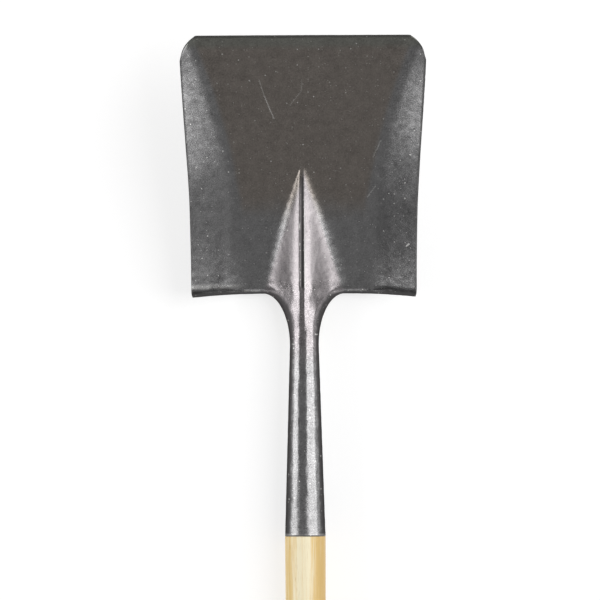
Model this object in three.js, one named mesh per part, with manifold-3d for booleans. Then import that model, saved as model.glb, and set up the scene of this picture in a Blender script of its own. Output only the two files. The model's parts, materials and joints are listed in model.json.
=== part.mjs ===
// A square point shovel with a hollow back: one steel sheet is pressed into the blade and rolled into
// the socket, an ash handle is driven into the socket, and one rivet with a washer holds the two together.

import * as THREE from "three";
import { mergeGeometries, mergeVertices } from "three/addons/utils/BufferGeometryUtils.js";
import Module from "manifold-3d";

const wasm = await Module();
wasm.setup();

// Lengths are in millimetres. While it is built, the handle's axis is the line x = 0, z = 0, the
// shoulder line of the blade is at y = 0, the lip lies towards +y and the face of the blade is up.

// Sheet and blade
const sheetThickness = 1.9;
const bladeWidth = 241.3; // of the flat sheet, nine and a half inches
const bladeLength = 251; // from the shoulder line to the lip, along the handle's axis
const panelDrop = 14.8; // from the handle's axis down to the face of the blade at the shoulder
const liftLength = 100; // the stretch over which the panel curves up to its full lift
const shoulderLift = THREE.MathUtils.degToRad(10.2);
const fullLift = THREE.MathUtils.degToRad(23.5);

// Rounded corners of the lip
const lipCornerRadius = 31;
const lipCornerStart = THREE.MathUtils.degToRad(9.5);
const lipCornerEnd = THREE.MathUtils.degToRad(59.2);

// Side wings, bent up from the panel
const wingWidth = 53.65; // of the flat sheet, from its side to the bend line, near the shoulder
const bendStraightLength = 85; // the bend line is straight up to here, then runs out to the lip's corner
const bendEndInset = 6; // the bend line leaves the sheet this far short of the lip
const bendCornerInset = 10.65; // and this far inside its side
const shoulderBendWidth = 28; // of the rounded bend, near the shoulder
const lipBendWidth = 8;
const shoulderWingAngle = THREE.MathUtils.degToRad(39.2);
const lipWingAngle = THREE.MathUtils.degToRad(24);

// The ridge that runs from the neck into the panel, hollow behind
const ridgeLength = 125;
const ridgeHalfWidth = 45.6;
const crestFlatWidth = 3.5;
const ridgeEndAngle = THREE.MathUtils.degToRad(9);
const ridgeBaseShare = 1.04;

// Turned step along the shoulders
const stepBendRadius = 8;
const stepSkirt = 6; // straight edge below the bend
const stepCurl = THREE.MathUtils.degToRad(1);
const shoulderBow = 3.2; // how far the outer end of each shoulder sweeps back

// Neck and socket
const neckLength = 50; // from the shoulder line to the narrowest place
const neckRadius = 14.1;
const filletReach = 25.4; // how far each shoulder fillet reaches out from the neck
const socketLength = 236; // from the shoulder line to the mouth
const mouthRadius = 19.75;
const seamGap = 5; // open seam along the back of the socket
const seamStart = 75; // how far behind the shoulder line the edges have come together

// Ash handle
const handleLength = 1219; // forty-eight inches, with the part inside the socket
const handleReach = 35; // how far the handle runs past the shoulder line into the ridge
const noseShare = 0.63; // of the free height under the ridge's crest
const noseRounding = 3;
const buttRadius = 17;
const buttRounding = 8;

// Rivet and its washer
const rivetFromMouth = 39;
const rivetShankRadius = 3.2;
const rivetHeadRadius = 4.7;
const rivetTailRadius = 5;
const rivetTailHeight = 1.5;
const sinkDepthShare = 0.65;
const washerRadius = 7.5;
const washerThickness = 1.3;

// Free space between pieces that seat on each other
const clearance = 0.3;

// Division of the curved surfaces
const edgeBandShare = 0.6; // of the step's bend, the width of the band of faces along the turned edge
const crestColumnShare = crestFlatWidth / 2 / (neckRadius + filletReach);
const ridgeColumnShares = [0, crestColumnShare, 0.11, 0.2, 0.3, 0.41, 0.52, 0.65, 0.81, 1];
const wingColumnShares = [0, 0.09, 0.18, 0.27, 0.35, 0.43, 0.52, 0.62, 0.72, 0.82, 0.88, 0.93, 0.97, 1];
const bladeRowShares = [
  1, 0.96, 0.92, 0.87, 0.81, 0.74, 0.67, 0.6, 0.54, 0.49, 0.45, 0.41, 0.37, 0.33, 0.29, 0.25, 0.21,
  0.175, 0.14, 0.11, 0.08, 0.055, 0.034, 0.018, 0.007, 0,
];
const filletSteps = 9;
const socketSteps = 7;
const bendSteps = 4;
const skirtSteps = 6;
const roundSteps = 40;
const cornerSteps = 5;

const { acos, asin, atan, cos, max, min, sin, sqrt, tan, PI } = Math;
const { clamp, lerp, smoothstep } = THREE.MathUtils;

// Outline of the sheet, seen square to the handle

const shoulderStart = neckRadius + filletReach; // where the shoulder line meets its fillet
const edgeBand = edgeBandShare * stepBendRadius;
const cornerWidth = lipCornerRadius * (cos(lipCornerStart) - cos(lipCornerEnd));
const cornerLength = lipCornerRadius * (sin(lipCornerEnd) - sin(lipCornerStart));

function bendLine(y) {
  const run = bladeLength - bendEndInset - bendStraightLength;
  const share = clamp((y - bendStraightLength) / run, 0, 1);
  const start = bladeWidth / 2 - wingWidth;
  return lerp(start, bladeWidth / 2 - bendCornerInset, share ** 1.5);
}

function wingAngle(y) {
  return lerp(shoulderWingAngle, lipWingAngle, clamp(y / bladeLength, 0, 1) ** 1.8);
}

// The sheet keeps its width while the wings bend up, so it looks narrower from above.
function bladeEdge(y) {
  const along = clamp(y, 0, bladeLength - cornerLength);
  const bend = bendLine(along);
  return bend + (bladeWidth / 2 - bend) * cos(wingAngle(along));
}

function lipLine(x) {
  const short = bladeEdge(bladeLength) - x;
  if (short >= cornerWidth) return bladeLength;
  const turn = acos(clamp(cos(lipCornerStart) - short / lipCornerRadius, -1, 1));
  return bladeLength - lipCornerRadius * (sin(lipCornerEnd) - sin(turn));
}

function shoulderLine(x) {
  const share = clamp((x - shoulderStart) / (bladeEdge(0) - shoulderStart), 0, 1);
  return -shoulderBow * share ** 2;
}

function socketRadius(y) {
  return lerp(neckRadius, mouthRadius, clamp((-y - neckLength) / (socketLength - neckLength), 0, 1));
}

// Stations along the turned edge: the shoulder from its outer end, the fillet, then the socket to its
// mouth. Each has its place and the direction that points into the sheet.
function edgeStations(wingShares, filletParts, socketParts) {
  const stations = [];
  for (const share of [...wingShares].reverse()) {
    const x = lerp(shoulderStart, bladeEdge(0), share);
    stations.push({ x, y: shoulderLine(x), inX: 0, inY: 1 });
  }
  for (let step = 1; step <= filletParts; step += 1) {
    const turn = (PI / 2) * (1 - step / filletParts);
    const steep = { x: -cos(turn) / filletReach, y: sin(turn) / neckLength };
    const size = Math.hypot(steep.x, steep.y);
    stations.push({
      x: shoulderStart - filletReach * cos(turn),
      y: -neckLength * (1 - sin(turn)),
      inX: steep.x / size,
      inY: steep.y / size,
    });
  }
  for (let step = 1; step <= socketParts; step += 1) {
    const y = -lerp(neckLength, socketLength, step / socketParts);
    stations.push({ x: socketRadius(y), y, inX: -1, inY: 0 });
  }
  return stations;
}

const stations = edgeStations(wingColumnShares, filletSteps, socketSteps);
const fineStations = edgeStations([0, 1], 20 * filletSteps, socketSteps);

// How far a place lies from the turned edge, and where along the handle the nearest edge is
function nearestEdge(x, y) {
  let best = { distance: Infinity, y: 0 };
  if (x > shoulderStart) best = { distance: y - shoulderLine(x), y: shoulderLine(x) };
  for (let at = 1; at < fineStations.length - 1; at += 1) {
    const from = fineStations[at];
    const to = fineStations[at + 1];
    const run = { x: to.x - from.x, y: to.y - from.y };
    const reach = (x - from.x) * run.x + (y - from.y) * run.y;
    const share = clamp(reach / (run.x ** 2 + run.y ** 2), 0, 1);
    const distance = Math.hypot(x - from.x - share * run.x, y - from.y - share * run.y);
    if (distance < best.distance) best = { distance, y: from.y + share * run.y };
  }
  return best;
}

// Height of the sheet's face

function panelHeight(y) {
  const along = clamp(y, 0, liftLength);
  const growth = (tan(fullLift) - tan(shoulderLift)) / liftLength;
  const curved = along * tan(shoulderLift) + (growth * along ** 2) / 2;
  return -panelDrop + curved + min(y, 0) * tan(shoulderLift) + max(y - liftLength, 0) * tan(fullLift);
}

function crestHeight(y) {
  if (y <= -neckLength) return socketRadius(y);
  if (y >= ridgeLength) return panelHeight(y);
  const run = neckLength + ridgeLength;
  const t = (y + neckLength) / run;
  const startSlope = -(mouthRadius - neckRadius) / (socketLength - neckLength);
  const fromNeck = (2 * t ** 3 - 3 * t ** 2 + 1) * neckRadius + (t ** 3 - 2 * t ** 2 + t) * run * startSlope;
  const endHeight = panelHeight(ridgeLength);
  const toPanel = (3 * t ** 2 - 2 * t ** 3) * endHeight + (t ** 3 - t ** 2) * run * tan(ridgeEndAngle);
  return fromNeck + toPanel;
}

// Share of the ridge's height that is lost at a place beside its crest
function ridgeFall(x, y) {
  const narrowing = max(1 - (max(y, 0) / (ridgeBaseShare * ridgeLength)) ** 1.8, 0);
  const base = ridgeHalfWidth * narrowing ** 1.05;
  const flat = min(crestFlatWidth / 2, base / 2);
  if (base <= 0) return 1;
  const share = clamp((x - flat) / (base - flat), 0, 1);
  return (1 - cos(PI * share ** 0.76)) / 2;
}

function wingRise(x, y) {
  const half = lerp(shoulderBendWidth, lipBendWidth, clamp(y / bladeLength, 0, 1)) / 2;
  const past = x - bendLine(y);
  if (past <= -half) return 0;
  if (past >= half) return past * tan(wingAngle(y));
  return (tan(wingAngle(y)) * (past + half) ** 2) / (4 * half);
}

function faceHeight(x, y) {
  const rise = crestHeight(y) - panelHeight(y);
  const fade = smoothstep(y, -neckLength, 0);
  return crestHeight(y) - rise * fade * ridgeFall(x, y) + wingRise(x, y);
}

function bendRadius(y) {
  if (y <= -neckLength) return socketRadius(y);
  return lerp(neckRadius, stepBendRadius, smoothstep(y, -neckLength, 0));
}

function turnedDown(distance, radius) {
  const inside = clamp(radius - distance, 0, radius);
  return radius - sqrt(radius ** 2 - inside ** 2);
}

function facePoint(x, y) {
  const edge = nearestEdge(x, y);
  const z = faceHeight(x, y) - turnedDown(edge.distance, bendRadius(edge.y));
  return new THREE.Vector3(x, y, z);
}

function pointNearEdge(station, distance) {
  const x = station.x + station.inX * distance;
  const y = station.y + station.inY * distance;
  return new THREE.Vector3(x, y, faceHeight(x, y) - turnedDown(distance, bendRadius(station.y)));
}

// Below the bend the edge goes straight down at the shoulder and curls round the handle at the socket.
function skirtPoint(station, share) {
  const closed = acos(clamp(seamGap / 2 / socketRadius(station.y), 0, 1));
  const blend = smoothstep(-station.y, 0, seamStart);
  const curl = lerp(stepCurl, closed, blend);
  const length = lerp(stepSkirt, socketRadius(station.y) * closed, blend);
  const inward = (length * (1 - cos(curl * share))) / curl;
  const down = (length * sin(curl * share)) / curl;
  const top = pointNearEdge(station, 0);
  return new THREE.Vector3(top.x + station.inX * inward, top.y + station.inY * inward, top.z - down);
}

// Surfaces and solids

function patch(columns, rows, place) {
  const surface = new THREE.PlaneGeometry(1, 1, columns, rows);
  for (let row = 0; row <= rows; row += 1) {
    for (let column = 0; column <= columns; column += 1) {
      const point = place(column, row);
      surface.attributes.position.setXYZ(row * (columns + 1) + column, point.x, point.y, point.z);
    }
  }
  return surface;
}

function bare(geometry) {
  const plain = geometry.clone();
  plain.deleteAttribute("normal");
  plain.deleteAttribute("uv");
  return mergeVertices(plain);
}

function mirrored(geometry) {
  const other = geometry.clone().scale(-1, 1, 1);
  const corners = other.index.array;
  for (let at = 0; at < corners.length; at += 3) {
    [corners[at], corners[at + 1]] = [corners[at + 1], corners[at]];
  }
  return other;
}

// Gives a surface a wall of the sheet's thickness behind it, and closes its free edges.
function thickened(surface, thickness) {
  const front = bare(surface);
  front.computeVertexNormals();
  const { position, normal } = front.attributes;
  const count = position.count;
  const points = new Float32Array(6 * count);
  for (let at = 0; at < count; at += 1) {
    const face = new THREE.Vector3().fromBufferAttribute(position, at);
    const outward = new THREE.Vector3().fromBufferAttribute(normal, at);
    face.toArray(points, 3 * at);
    face.addScaledVector(outward, -thickness).toArray(points, 3 * (count + at));
  }
  const corners = front.index.array;
  const faces = [];
  const edges = new Map();
  for (let at = 0; at < corners.length; at += 3) {
    const [a, b, c] = corners.slice(at, at + 3);
    faces.push(a, b, c, count + a, count + c, count + b);
    for (const [from, to] of [[a, b], [b, c], [c, a]]) edges.set(`${from},${to}`, [from, to]);
  }
  for (const [from, to] of edges.values()) {
    if (edges.has(`${to},${from}`)) continue;
    faces.push(to, from, count + from, to, count + from, count + to);
  }
  const shell = new THREE.BufferGeometry();
  shell.setAttribute("position", new THREE.BufferAttribute(points, 3));
  shell.setIndex(faces);
  return shell;
}

function solidOf(geometry) {
  const merged = bare(geometry);
  const corners = merged.index.array;
  const kept = [];
  for (let at = 0; at < corners.length; at += 3) {
    const [a, b, c] = corners.slice(at, at + 3);
    if (a !== b && b !== c && c !== a) kept.push(a, b, c);
  }
  const vertProperties = new Float32Array(merged.attributes.position.array);
  return new wasm.Manifold(new wasm.Mesh({ numProp: 3, vertProperties, triVerts: new Uint32Array(kept) }));
}

function geometryOf(solid) {
  const mesh = solid.getMesh();
  const geometry = new THREE.BufferGeometry();
  geometry.setAttribute("position", new THREE.BufferAttribute(mesh.vertProperties, 3));
  geometry.setIndex(new THREE.BufferAttribute(mesh.triVerts, 1));
  geometry.computeVertexNormals();
  return geometry;
}

function turned(profile) {
  return new THREE.LatheGeometry(profile, roundSteps);
}

function arc(centreX, centreY, radius, from, to) {
  const points = [];
  for (let step = 0; step <= cornerSteps; step += 1) {
    const turn = lerp(from, to, step / cornerSteps);
    points.push(new THREE.Vector2(centreX + radius * cos(turn), centreY + radius * sin(turn)));
  }
  return points;
}

// Blade and socket, one sheet

const ridgeColumns = ridgeColumnShares.length - 1;
const wingColumns = wingColumnShares.length - 1;

function panelPoint(column, row) {
  const onWing = column > ridgeColumns;
  const share = onWing ? wingColumnShares[column - ridgeColumns] : 0;
  const lipX = lerp(shoulderStart, bladeEdge(bladeLength), share);
  const low = shoulderLine(lerp(shoulderStart, bladeEdge(0), share)) + edgeBand;
  const high = lipLine(lipX);
  const y = lerp(low, high, bladeRowShares[row]);
  if (!onWing && column < ridgeColumns) return facePoint(ridgeColumnShares[column] * shoulderStart, y);
  const atEdge = row === bladeRowShares.length - 1;
  if (atEdge) return pointNearEdge(stations[wingColumns + ridgeColumns - column], edgeBand);
  return facePoint(lerp(shoulderStart, bladeEdge(y), share), y);
}

function neckPoint(column, row) {
  const end = pointNearEdge(stations[wingColumns + row], edgeBand);
  if (column === ridgeColumns) return end;
  return facePoint(ridgeColumnShares[column] * end.x, end.y);
}

function turnedEdgePoint(column, row) {
  const station = stations[row];
  if (column > bendSteps) return skirtPoint(station, (column - bendSteps) / skirtSteps);
  const radius = bendRadius(station.y);
  const first = asin(clamp(1 - edgeBand / radius, -1, 1));
  if (column === 0) return pointNearEdge(station, edgeBand);
  if (column === bendSteps) return pointNearEdge(station, 0);
  return pointNearEdge(station, radius * (1 - sin(lerp(first, PI / 2, column / bendSteps))));
}

function sheetFace() {
  const panel = patch(ridgeColumns + wingColumns, bladeRowShares.length - 1, panelPoint);
  const neck = patch(ridgeColumns, filletSteps + socketSteps, neckPoint);
  const edge = patch(bendSteps + skirtSteps, stations.length - 1, turnedEdgePoint);
  const half = mergeGeometries([panel, neck, edge].map(bare));
  return mergeGeometries([half, mirrored(half)]);
}

// Rivet, standing along its own y axis with the tube's axis at 0

const rivetPlace = rivetFromMouth - socketLength;
const rivetSocketRadius = socketRadius(rivetPlace);
const washerTop = -(rivetSocketRadius + clearance);
const washerUnder = washerTop - washerThickness;

// The same profile makes the rivet and, grown by a clearance, the hole for it.
function rivetProfile(grow) {
  const fall = rivetHeadRadius ** 2 / (2 * rivetSocketRadius);
  const rim = rivetSocketRadius - fall;
  const sink = rim - sinkDepthShare * sheetThickness;
  return { rim, sink, head: rivetHeadRadius + grow, shank: rivetShankRadius + grow };
}

function rivetGeometry() {
  const { rim, sink, head, shank } = rivetProfile(0);
  const tail = washerUnder - clearance;
  const points = [];
  for (let step = 0; step <= cornerSteps; step += 1) {
    const turn = (PI / 2) * (step / cornerSteps);
    points.push(new THREE.Vector2(rivetTailRadius * sin(turn), tail - rivetTailHeight * cos(turn)));
  }
  points.push(new THREE.Vector2(shank, tail), new THREE.Vector2(shank, sink), new THREE.Vector2(head, rim));
  for (let step = 1; step <= cornerSteps; step += 1) {
    const out = head * (1 - step / cornerSteps);
    points.push(new THREE.Vector2(out, rivetSocketRadius - out ** 2 / (2 * rivetSocketRadius)));
  }
  return turned(points);
}

function rivetHole() {
  const { rim, sink, head, shank } = rivetProfile(clearance);
  const low = tailEnd();
  const points = [
    new THREE.Vector2(0, low),
    new THREE.Vector2(shank, low),
    new THREE.Vector2(shank, sink),
    new THREE.Vector2(head, rim),
    new THREE.Vector2(head, rivetSocketRadius + sheetThickness),
    new THREE.Vector2(0, rivetSocketRadius + sheetThickness),
  ];
  return solidOf(turned(points).rotateX(PI / 2).translate(0, rivetPlace, 0));
}

function tailEnd() {
  return washerUnder - clearance - rivetTailHeight;
}

function washerGeometry() {
  const hole = rivetShankRadius + clearance;
  return turned([
    new THREE.Vector2(hole, washerUnder),
    new THREE.Vector2(washerRadius, washerUnder),
    new THREE.Vector2(washerRadius, washerTop),
    new THREE.Vector2(hole, washerTop),
    new THREE.Vector2(hole, washerUnder),
  ]);
}

// Handle, turned about the y axis from its butt to its nose

const butt = handleReach - handleLength;
const bore = (y) => socketRadius(y) - sheetThickness - clearance;

function handleGeometry() {
  const nose = min(noseShare * (crestHeight(handleReach) - sheetThickness), bore(-neckLength));
  const rounding = min(noseRounding, nose / 2);
  const end = min(buttRounding, buttRadius / 2);
  return turned([
    new THREE.Vector2(0, butt),
    ...arc(buttRadius - end, butt + end, end, -PI / 2, 0),
    new THREE.Vector2(mouthRadius, -socketLength - clearance),
    new THREE.Vector2(bore(-socketLength), -socketLength - clearance),
    new THREE.Vector2(bore(-neckLength), -neckLength),
    ...arc(nose - rounding, handleReach - rounding, rounding, 0, PI / 2),
    new THREE.Vector2(0, handleReach),
  ]);
}

// Finishes

const steel = new THREE.MeshStandardMaterial({ color: 0x55524e, roughness: 0.42, metalness: 0.9 });
const rivetSteel = new THREE.MeshStandardMaterial({ color: 0x605e5c, roughness: 0.45, metalness: 0.9 });
const washerSteel = new THREE.MeshStandardMaterial({ color: 0x6a6968, roughness: 0.4, metalness: 0.9 });
const ash = new THREE.MeshStandardMaterial({ color: 0xe6c98b, roughness: 0.35, metalness: 0 });

// Assembly

function piece(name, geometry, material) {
  const mesh = new THREE.Mesh(geometry, material);
  mesh.name = name;
  return mesh;
}

const shell = solidOf(thickened(sheetFace(), sheetThickness));
const hole = rivetHole();
const blade = piece("blade_and_socket", geometryOf(shell.subtract(hole)), steel);
const handle = piece("handle", geometryOf(solidOf(handleGeometry()).subtract(hole)), ash);

const fastening = new THREE.Group();
fastening.position.y = rivetPlace;
fastening.rotation.x = PI / 2;
fastening.add(piece("socket_rivet", rivetGeometry(), rivetSteel));
fastening.add(piece("rivet_washer", washerGeometry(), washerSteel));

// The shovel lies face up on the edge of its step and on the butt of its handle, with its middle over
// the origin.
const heelHeight = skirtPoint(stations[wingColumns], 1).z;
const restSlope = atan((-heelHeight - buttRadius) / (-butt - buttRounding));

const lying = new THREE.Group();
lying.rotation.x = restSlope;
lying.add(blade, handle, fastening);

const shovel = new THREE.Group();
shovel.add(lying);
shovel.updateMatrixWorld(true);
const space = new THREE.Box3().setFromObject(shovel, true);
const middle = space.getCenter(new THREE.Vector3());
lying.position.set(-middle.x, -middle.y, -space.min.z);

export default shovel;
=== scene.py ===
# %% [markdown]
# # A square point shovel, dressed for a photograph
# The real tool is three things: a steel sheet that is pressed into the blade and rolled into the socket,
# an ash handle driven into that socket, and a rivet with a washer that keeps the handle in. The CAD model
# already holds their sizes. This lesson gives each piece its fine surface and its finish, and starts with
# the frame, which tells where everything is.

# %% Load the frame
import json
from math import acos, asin, cos, hypot, pi, radians, sin, sqrt, tan

import bmesh
import bpy
from mathutils import Matrix, Vector, noise


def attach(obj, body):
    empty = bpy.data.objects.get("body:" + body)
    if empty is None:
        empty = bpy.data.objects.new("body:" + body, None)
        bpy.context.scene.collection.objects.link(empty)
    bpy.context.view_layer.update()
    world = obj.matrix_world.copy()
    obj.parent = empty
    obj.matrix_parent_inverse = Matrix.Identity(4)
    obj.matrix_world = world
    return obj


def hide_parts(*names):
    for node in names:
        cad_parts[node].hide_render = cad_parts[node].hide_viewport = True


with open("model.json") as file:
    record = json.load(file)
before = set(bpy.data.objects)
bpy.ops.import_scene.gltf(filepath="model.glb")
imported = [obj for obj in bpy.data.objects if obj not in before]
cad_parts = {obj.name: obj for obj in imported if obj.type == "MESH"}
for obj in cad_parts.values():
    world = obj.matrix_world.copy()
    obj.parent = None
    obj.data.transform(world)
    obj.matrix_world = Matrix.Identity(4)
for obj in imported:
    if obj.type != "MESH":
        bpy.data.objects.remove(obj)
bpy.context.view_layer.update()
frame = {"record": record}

# %% [markdown]
# The shovel lies a little askew: it rests on the turned edge behind the blade and on the butt of its
# handle. All its shapes are easier to describe along the handle's axis, so the first tool is a matrix from
# the shovel's own directions to the frame's. The butt is a mount in the record, with its middle and the
# direction it faces, and that is all the matrix needs.

# %% The shovel's own directions
HANDLE_LENGTH = 1.219
HANDLE_REACH = 0.035  # how far the handle runs past the shoulder line
BUTT = HANDLE_REACH - HANDLE_LENGTH

mounts = {mount["name"]: mount for mount in frame["record"]["mounts"]}
across = Vector((1, 0, 0))
along = -Vector(mounts["butt_end"]["axis"]).normalized()
upward = across.cross(along)
shoulder_middle = Vector(mounts["butt_end"]["pos_m"]) - BUTT * along
TO_FRAME = Matrix.Translation(shoulder_middle) @ Matrix((across, along, upward)).transposed().to_4x4()
FROM_FRAME = TO_FRAME.inverted()
print("the shoulder line crosses the handle's axis at", [round(part, 4) for part in shoulder_middle])

# %% [markdown]
# ## The blade's outline
# Seen square to the handle, the blade is a plate with two clipped corners at the lip, wings along its
# sides and shoulders that sweep into the neck. A subdivision cage could be pulled into this shape by hand,
# but its bends have known angles and radii, so short functions give the surface exactly, as they do in CAD.

# %% Sizes of the blade
SHEET = 0.0019
BLADE_WIDTH = 0.2413
BLADE_LENGTH = 0.251
PANEL_DROP = 0.0148
LIFT_LENGTH = 0.1
SHOULDER_LIFT = radians(10.2)
FULL_LIFT = radians(23.5)
CORNER_RADIUS = 0.031
CORNER_START = radians(9.5)
CORNER_END = radians(59.2)
WING_WIDTH = 0.05365
BEND_STRAIGHT = 0.085
BEND_END_INSET = 0.006
BEND_CORNER_INSET = 0.01065
BEND_EASE = 1.5
SHOULDER_BEND = 0.028
LIP_BEND = 0.008
SHOULDER_WING = radians(39.2)
LIP_WING = radians(24)
WING_EASE = 1.8
RIDGE_LENGTH = 0.125
RIDGE_HALF_WIDTH = 0.0456
RIDGE_END = radians(9)
RIDGE_BASE_SHARE = 1.04
RIDGE_BASE_EASE = (1.8, 1.05)
RIDGE_SLOPE_EASE = 0.76
STEP_RADIUS = 0.008
STEP_SKIRT = 0.006
STEP_CURL = radians(1)
SHOULDER_BOW = 0.0032
NECK_LENGTH = 0.05
NECK_RADIUS = 0.0141
FILLET_REACH = 0.0254
SOCKET_LENGTH = 0.236
MOUTH_RADIUS = 0.01975
SEAM_GAP = 0.005
SEAM_START = 0.075
SHOULDER_START = NECK_RADIUS + FILLET_REACH
print("blade and socket", round(BLADE_LENGTH + SOCKET_LENGTH, 3), "m long")


# %% Outline functions
def clamp(value, low=0.0, high=1.0):
    return max(low, min(high, value))


def lerp(start, end, share):
    return start + (end - start) * share


def smooth(value, low, high):
    share = clamp((value - low) / (high - low))
    return share * share * (3 - 2 * share)


def bend_line(y):
    run = BLADE_LENGTH - BEND_END_INSET - BEND_STRAIGHT
    share = clamp((y - BEND_STRAIGHT) / run)
    return lerp(BLADE_WIDTH / 2 - WING_WIDTH, BLADE_WIDTH / 2 - BEND_CORNER_INSET, share**BEND_EASE)


def wing_angle(y):
    return lerp(SHOULDER_WING, LIP_WING, clamp(y / BLADE_LENGTH) ** WING_EASE)


def blade_edge(y):
    corner = CORNER_RADIUS * (sin(CORNER_END) - sin(CORNER_START))
    at = clamp(y, 0, BLADE_LENGTH - corner)
    bend = bend_line(at)
    return bend + (BLADE_WIDTH / 2 - bend) * cos(wing_angle(at))


def lip_line(x):
    short = blade_edge(BLADE_LENGTH) - x
    if short >= CORNER_RADIUS * (cos(CORNER_START) - cos(CORNER_END)):
        return BLADE_LENGTH
    turn = acos(clamp(cos(CORNER_START) - short / CORNER_RADIUS, -1, 1))
    return BLADE_LENGTH - CORNER_RADIUS * (sin(CORNER_END) - sin(turn))


def shoulder_line(x):
    return -SHOULDER_BOW * clamp((x - SHOULDER_START) / (blade_edge(0) - SHOULDER_START)) ** 2


def socket_radius(y):
    return lerp(NECK_RADIUS, MOUTH_RADIUS, clamp((-y - NECK_LENGTH) / (SOCKET_LENGTH - NECK_LENGTH)))


print("half width at the shoulder and the lip", round(blade_edge(0), 4), round(blade_edge(BLADE_LENGTH), 4))

# %% [markdown]
# The turned edge runs in one line from the outer end of a shoulder, round the fillet and down the socket
# to its mouth. A list of stations along that line serves both as the outline of the neck and as the rows
# of the turned edge, so the patches that meet there share their points.

# %% Stations along the turned edge
WING_COLUMNS = 44
FILLET_ROWS = 34
SOCKET_ROWS = 96
FINE_FILLET_ROWS = 120  # for measuring distances from the fillet


def edge_stations(wing_columns, fillet_rows, socket_rows):
    found = []
    for step in range(wing_columns + 1):
        x = lerp(blade_edge(0), SHOULDER_START, step / wing_columns)
        found.append((x, shoulder_line(x), 0.0, 1.0))
    for step in range(1, fillet_rows + 1):
        turn = (pi / 2) * (1 - step / fillet_rows)
        in_x = -cos(turn) / FILLET_REACH
        in_y = sin(turn) / NECK_LENGTH
        size = hypot(in_x, in_y)
        x = SHOULDER_START - FILLET_REACH * cos(turn)
        found.append((x, -NECK_LENGTH * (1 - sin(turn)), in_x / size, in_y / size))
    for step in range(1, socket_rows + 1):
        y = -lerp(NECK_LENGTH, SOCKET_LENGTH, step / socket_rows)
        found.append((socket_radius(y), y, -1.0, 0.0))
    return found


stations = edge_stations(WING_COLUMNS, FILLET_ROWS, SOCKET_ROWS)
fillet_line = edge_stations(1, FINE_FILLET_ROWS, 1)[1:-1]


def nearest_edge(x, y):
    """Distance from the turned edge, and where along the handle the nearest point of the edge is."""
    if y <= -NECK_LENGTH:
        return socket_radius(y) - x, y
    if y > NECK_RADIUS:
        return y, 0.0
    best = (y - shoulder_line(x), shoulder_line(x)) if x > SHOULDER_START else (1.0, 0.0)
    for start, end in zip(fillet_line, fillet_line[1:]):
        run_x, run_y = end[0] - start[0], end[1] - start[1]
        share = clamp(((x - start[0]) * run_x + (y - start[1]) * run_y) / (run_x**2 + run_y**2))
        distance = hypot(x - start[0] - share * run_x, y - start[1] - share * run_y)
        if distance < best[0]:
            best = (distance, start[1] + share * run_y)
    return best


print(len(stations), "stations on each side")

# %% [markdown]
# ## The height of the sheet
# The panel curves up from the shoulders to its full lift. The ridge stands on it like a tent, its crest
# running from the neck down to a point, and the wings bend up along the sides. On the real shovel the press
# has pinched the crest: a narrow sunken strip lies just left of the middle, with a sharp right edge and a
# ragged left one, so here the flat of the crest sits on that side.

# %% Height functions
CREST_STRIP = 0.0034  # width of the pinched strip, which ends at the middle
STRIP_DEPTH = 0.00035


def panel_height(y):
    at = clamp(y, 0, LIFT_LENGTH)
    growth = (tan(FULL_LIFT) - tan(SHOULDER_LIFT)) / LIFT_LENGTH
    curved = at * tan(SHOULDER_LIFT) + growth * at**2 / 2
    return -PANEL_DROP + curved + min(y, 0) * tan(SHOULDER_LIFT) + max(y - LIFT_LENGTH, 0) * tan(FULL_LIFT)


def crest_height(y):
    if y <= -NECK_LENGTH:
        return socket_radius(y)
    if y >= RIDGE_LENGTH:
        return panel_height(y)
    run = NECK_LENGTH + RIDGE_LENGTH
    t = (y + NECK_LENGTH) / run
    start_slope = -(MOUTH_RADIUS - NECK_RADIUS) / (SOCKET_LENGTH - NECK_LENGTH)
    from_neck = (2 * t**3 - 3 * t**2 + 1) * NECK_RADIUS + (t**3 - 2 * t**2 + t) * run * start_slope
    to_panel = (3 * t**2 - 2 * t**3) * panel_height(RIDGE_LENGTH) + (t**3 - t**2) * run * tan(RIDGE_END)
    return from_neck + to_panel


def ridge_fall(x, y):
    """Share of the ridge's height that is lost at a place beside its crest."""
    run = max(y, 0) / (RIDGE_BASE_SHARE * RIDGE_LENGTH)
    base = RIDGE_HALF_WIDTH * max(1 - run ** RIDGE_BASE_EASE[0], 0) ** RIDGE_BASE_EASE[1]
    if base <= 0:
        return 1.0
    flat = min(CREST_STRIP * smooth(y, -NECK_LENGTH, 0), base / 2) if x < 0 else 0.0
    share = clamp((abs(x) - flat) / (base - flat))
    return (1 - cos(pi * share**RIDGE_SLOPE_EASE)) / 2


def wing_rise(x, y):
    half = lerp(SHOULDER_BEND, LIP_BEND, clamp(y / BLADE_LENGTH)) / 2
    past = abs(x) - bend_line(y)
    if past <= -half:
        return 0.0
    if past >= half:
        return past * tan(wing_angle(y))
    return tan(wing_angle(y)) * (past + half) ** 2 / (4 * half)


def face_height(x, y):
    fade = smooth(y, -NECK_LENGTH, 0)
    rise = crest_height(y) - panel_height(y)
    return crest_height(y) - rise * fade * ridge_fall(x, y) + wing_rise(x, y)


def bend_radius(y):
    if y <= -NECK_LENGTH:
        return socket_radius(y)
    return lerp(NECK_RADIUS, STEP_RADIUS, smooth(y, -NECK_LENGTH, 0))


def turned_down(distance, radius):
    inside = clamp(radius - distance, 0, radius)
    return radius - sqrt(radius**2 - inside**2)


def face_point(x, y):
    distance, edge_y = nearest_edge(abs(x), y)
    return Vector((x, y, face_height(x, y) - turned_down(distance, bend_radius(edge_y))))


def point_near_edge(station, distance, side):
    x = station[0] + station[2] * distance
    y = station[1] + station[3] * distance
    height = face_height(side * x, y) - turned_down(distance, bend_radius(station[1]))
    return Vector((side * x, y, height))


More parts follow.
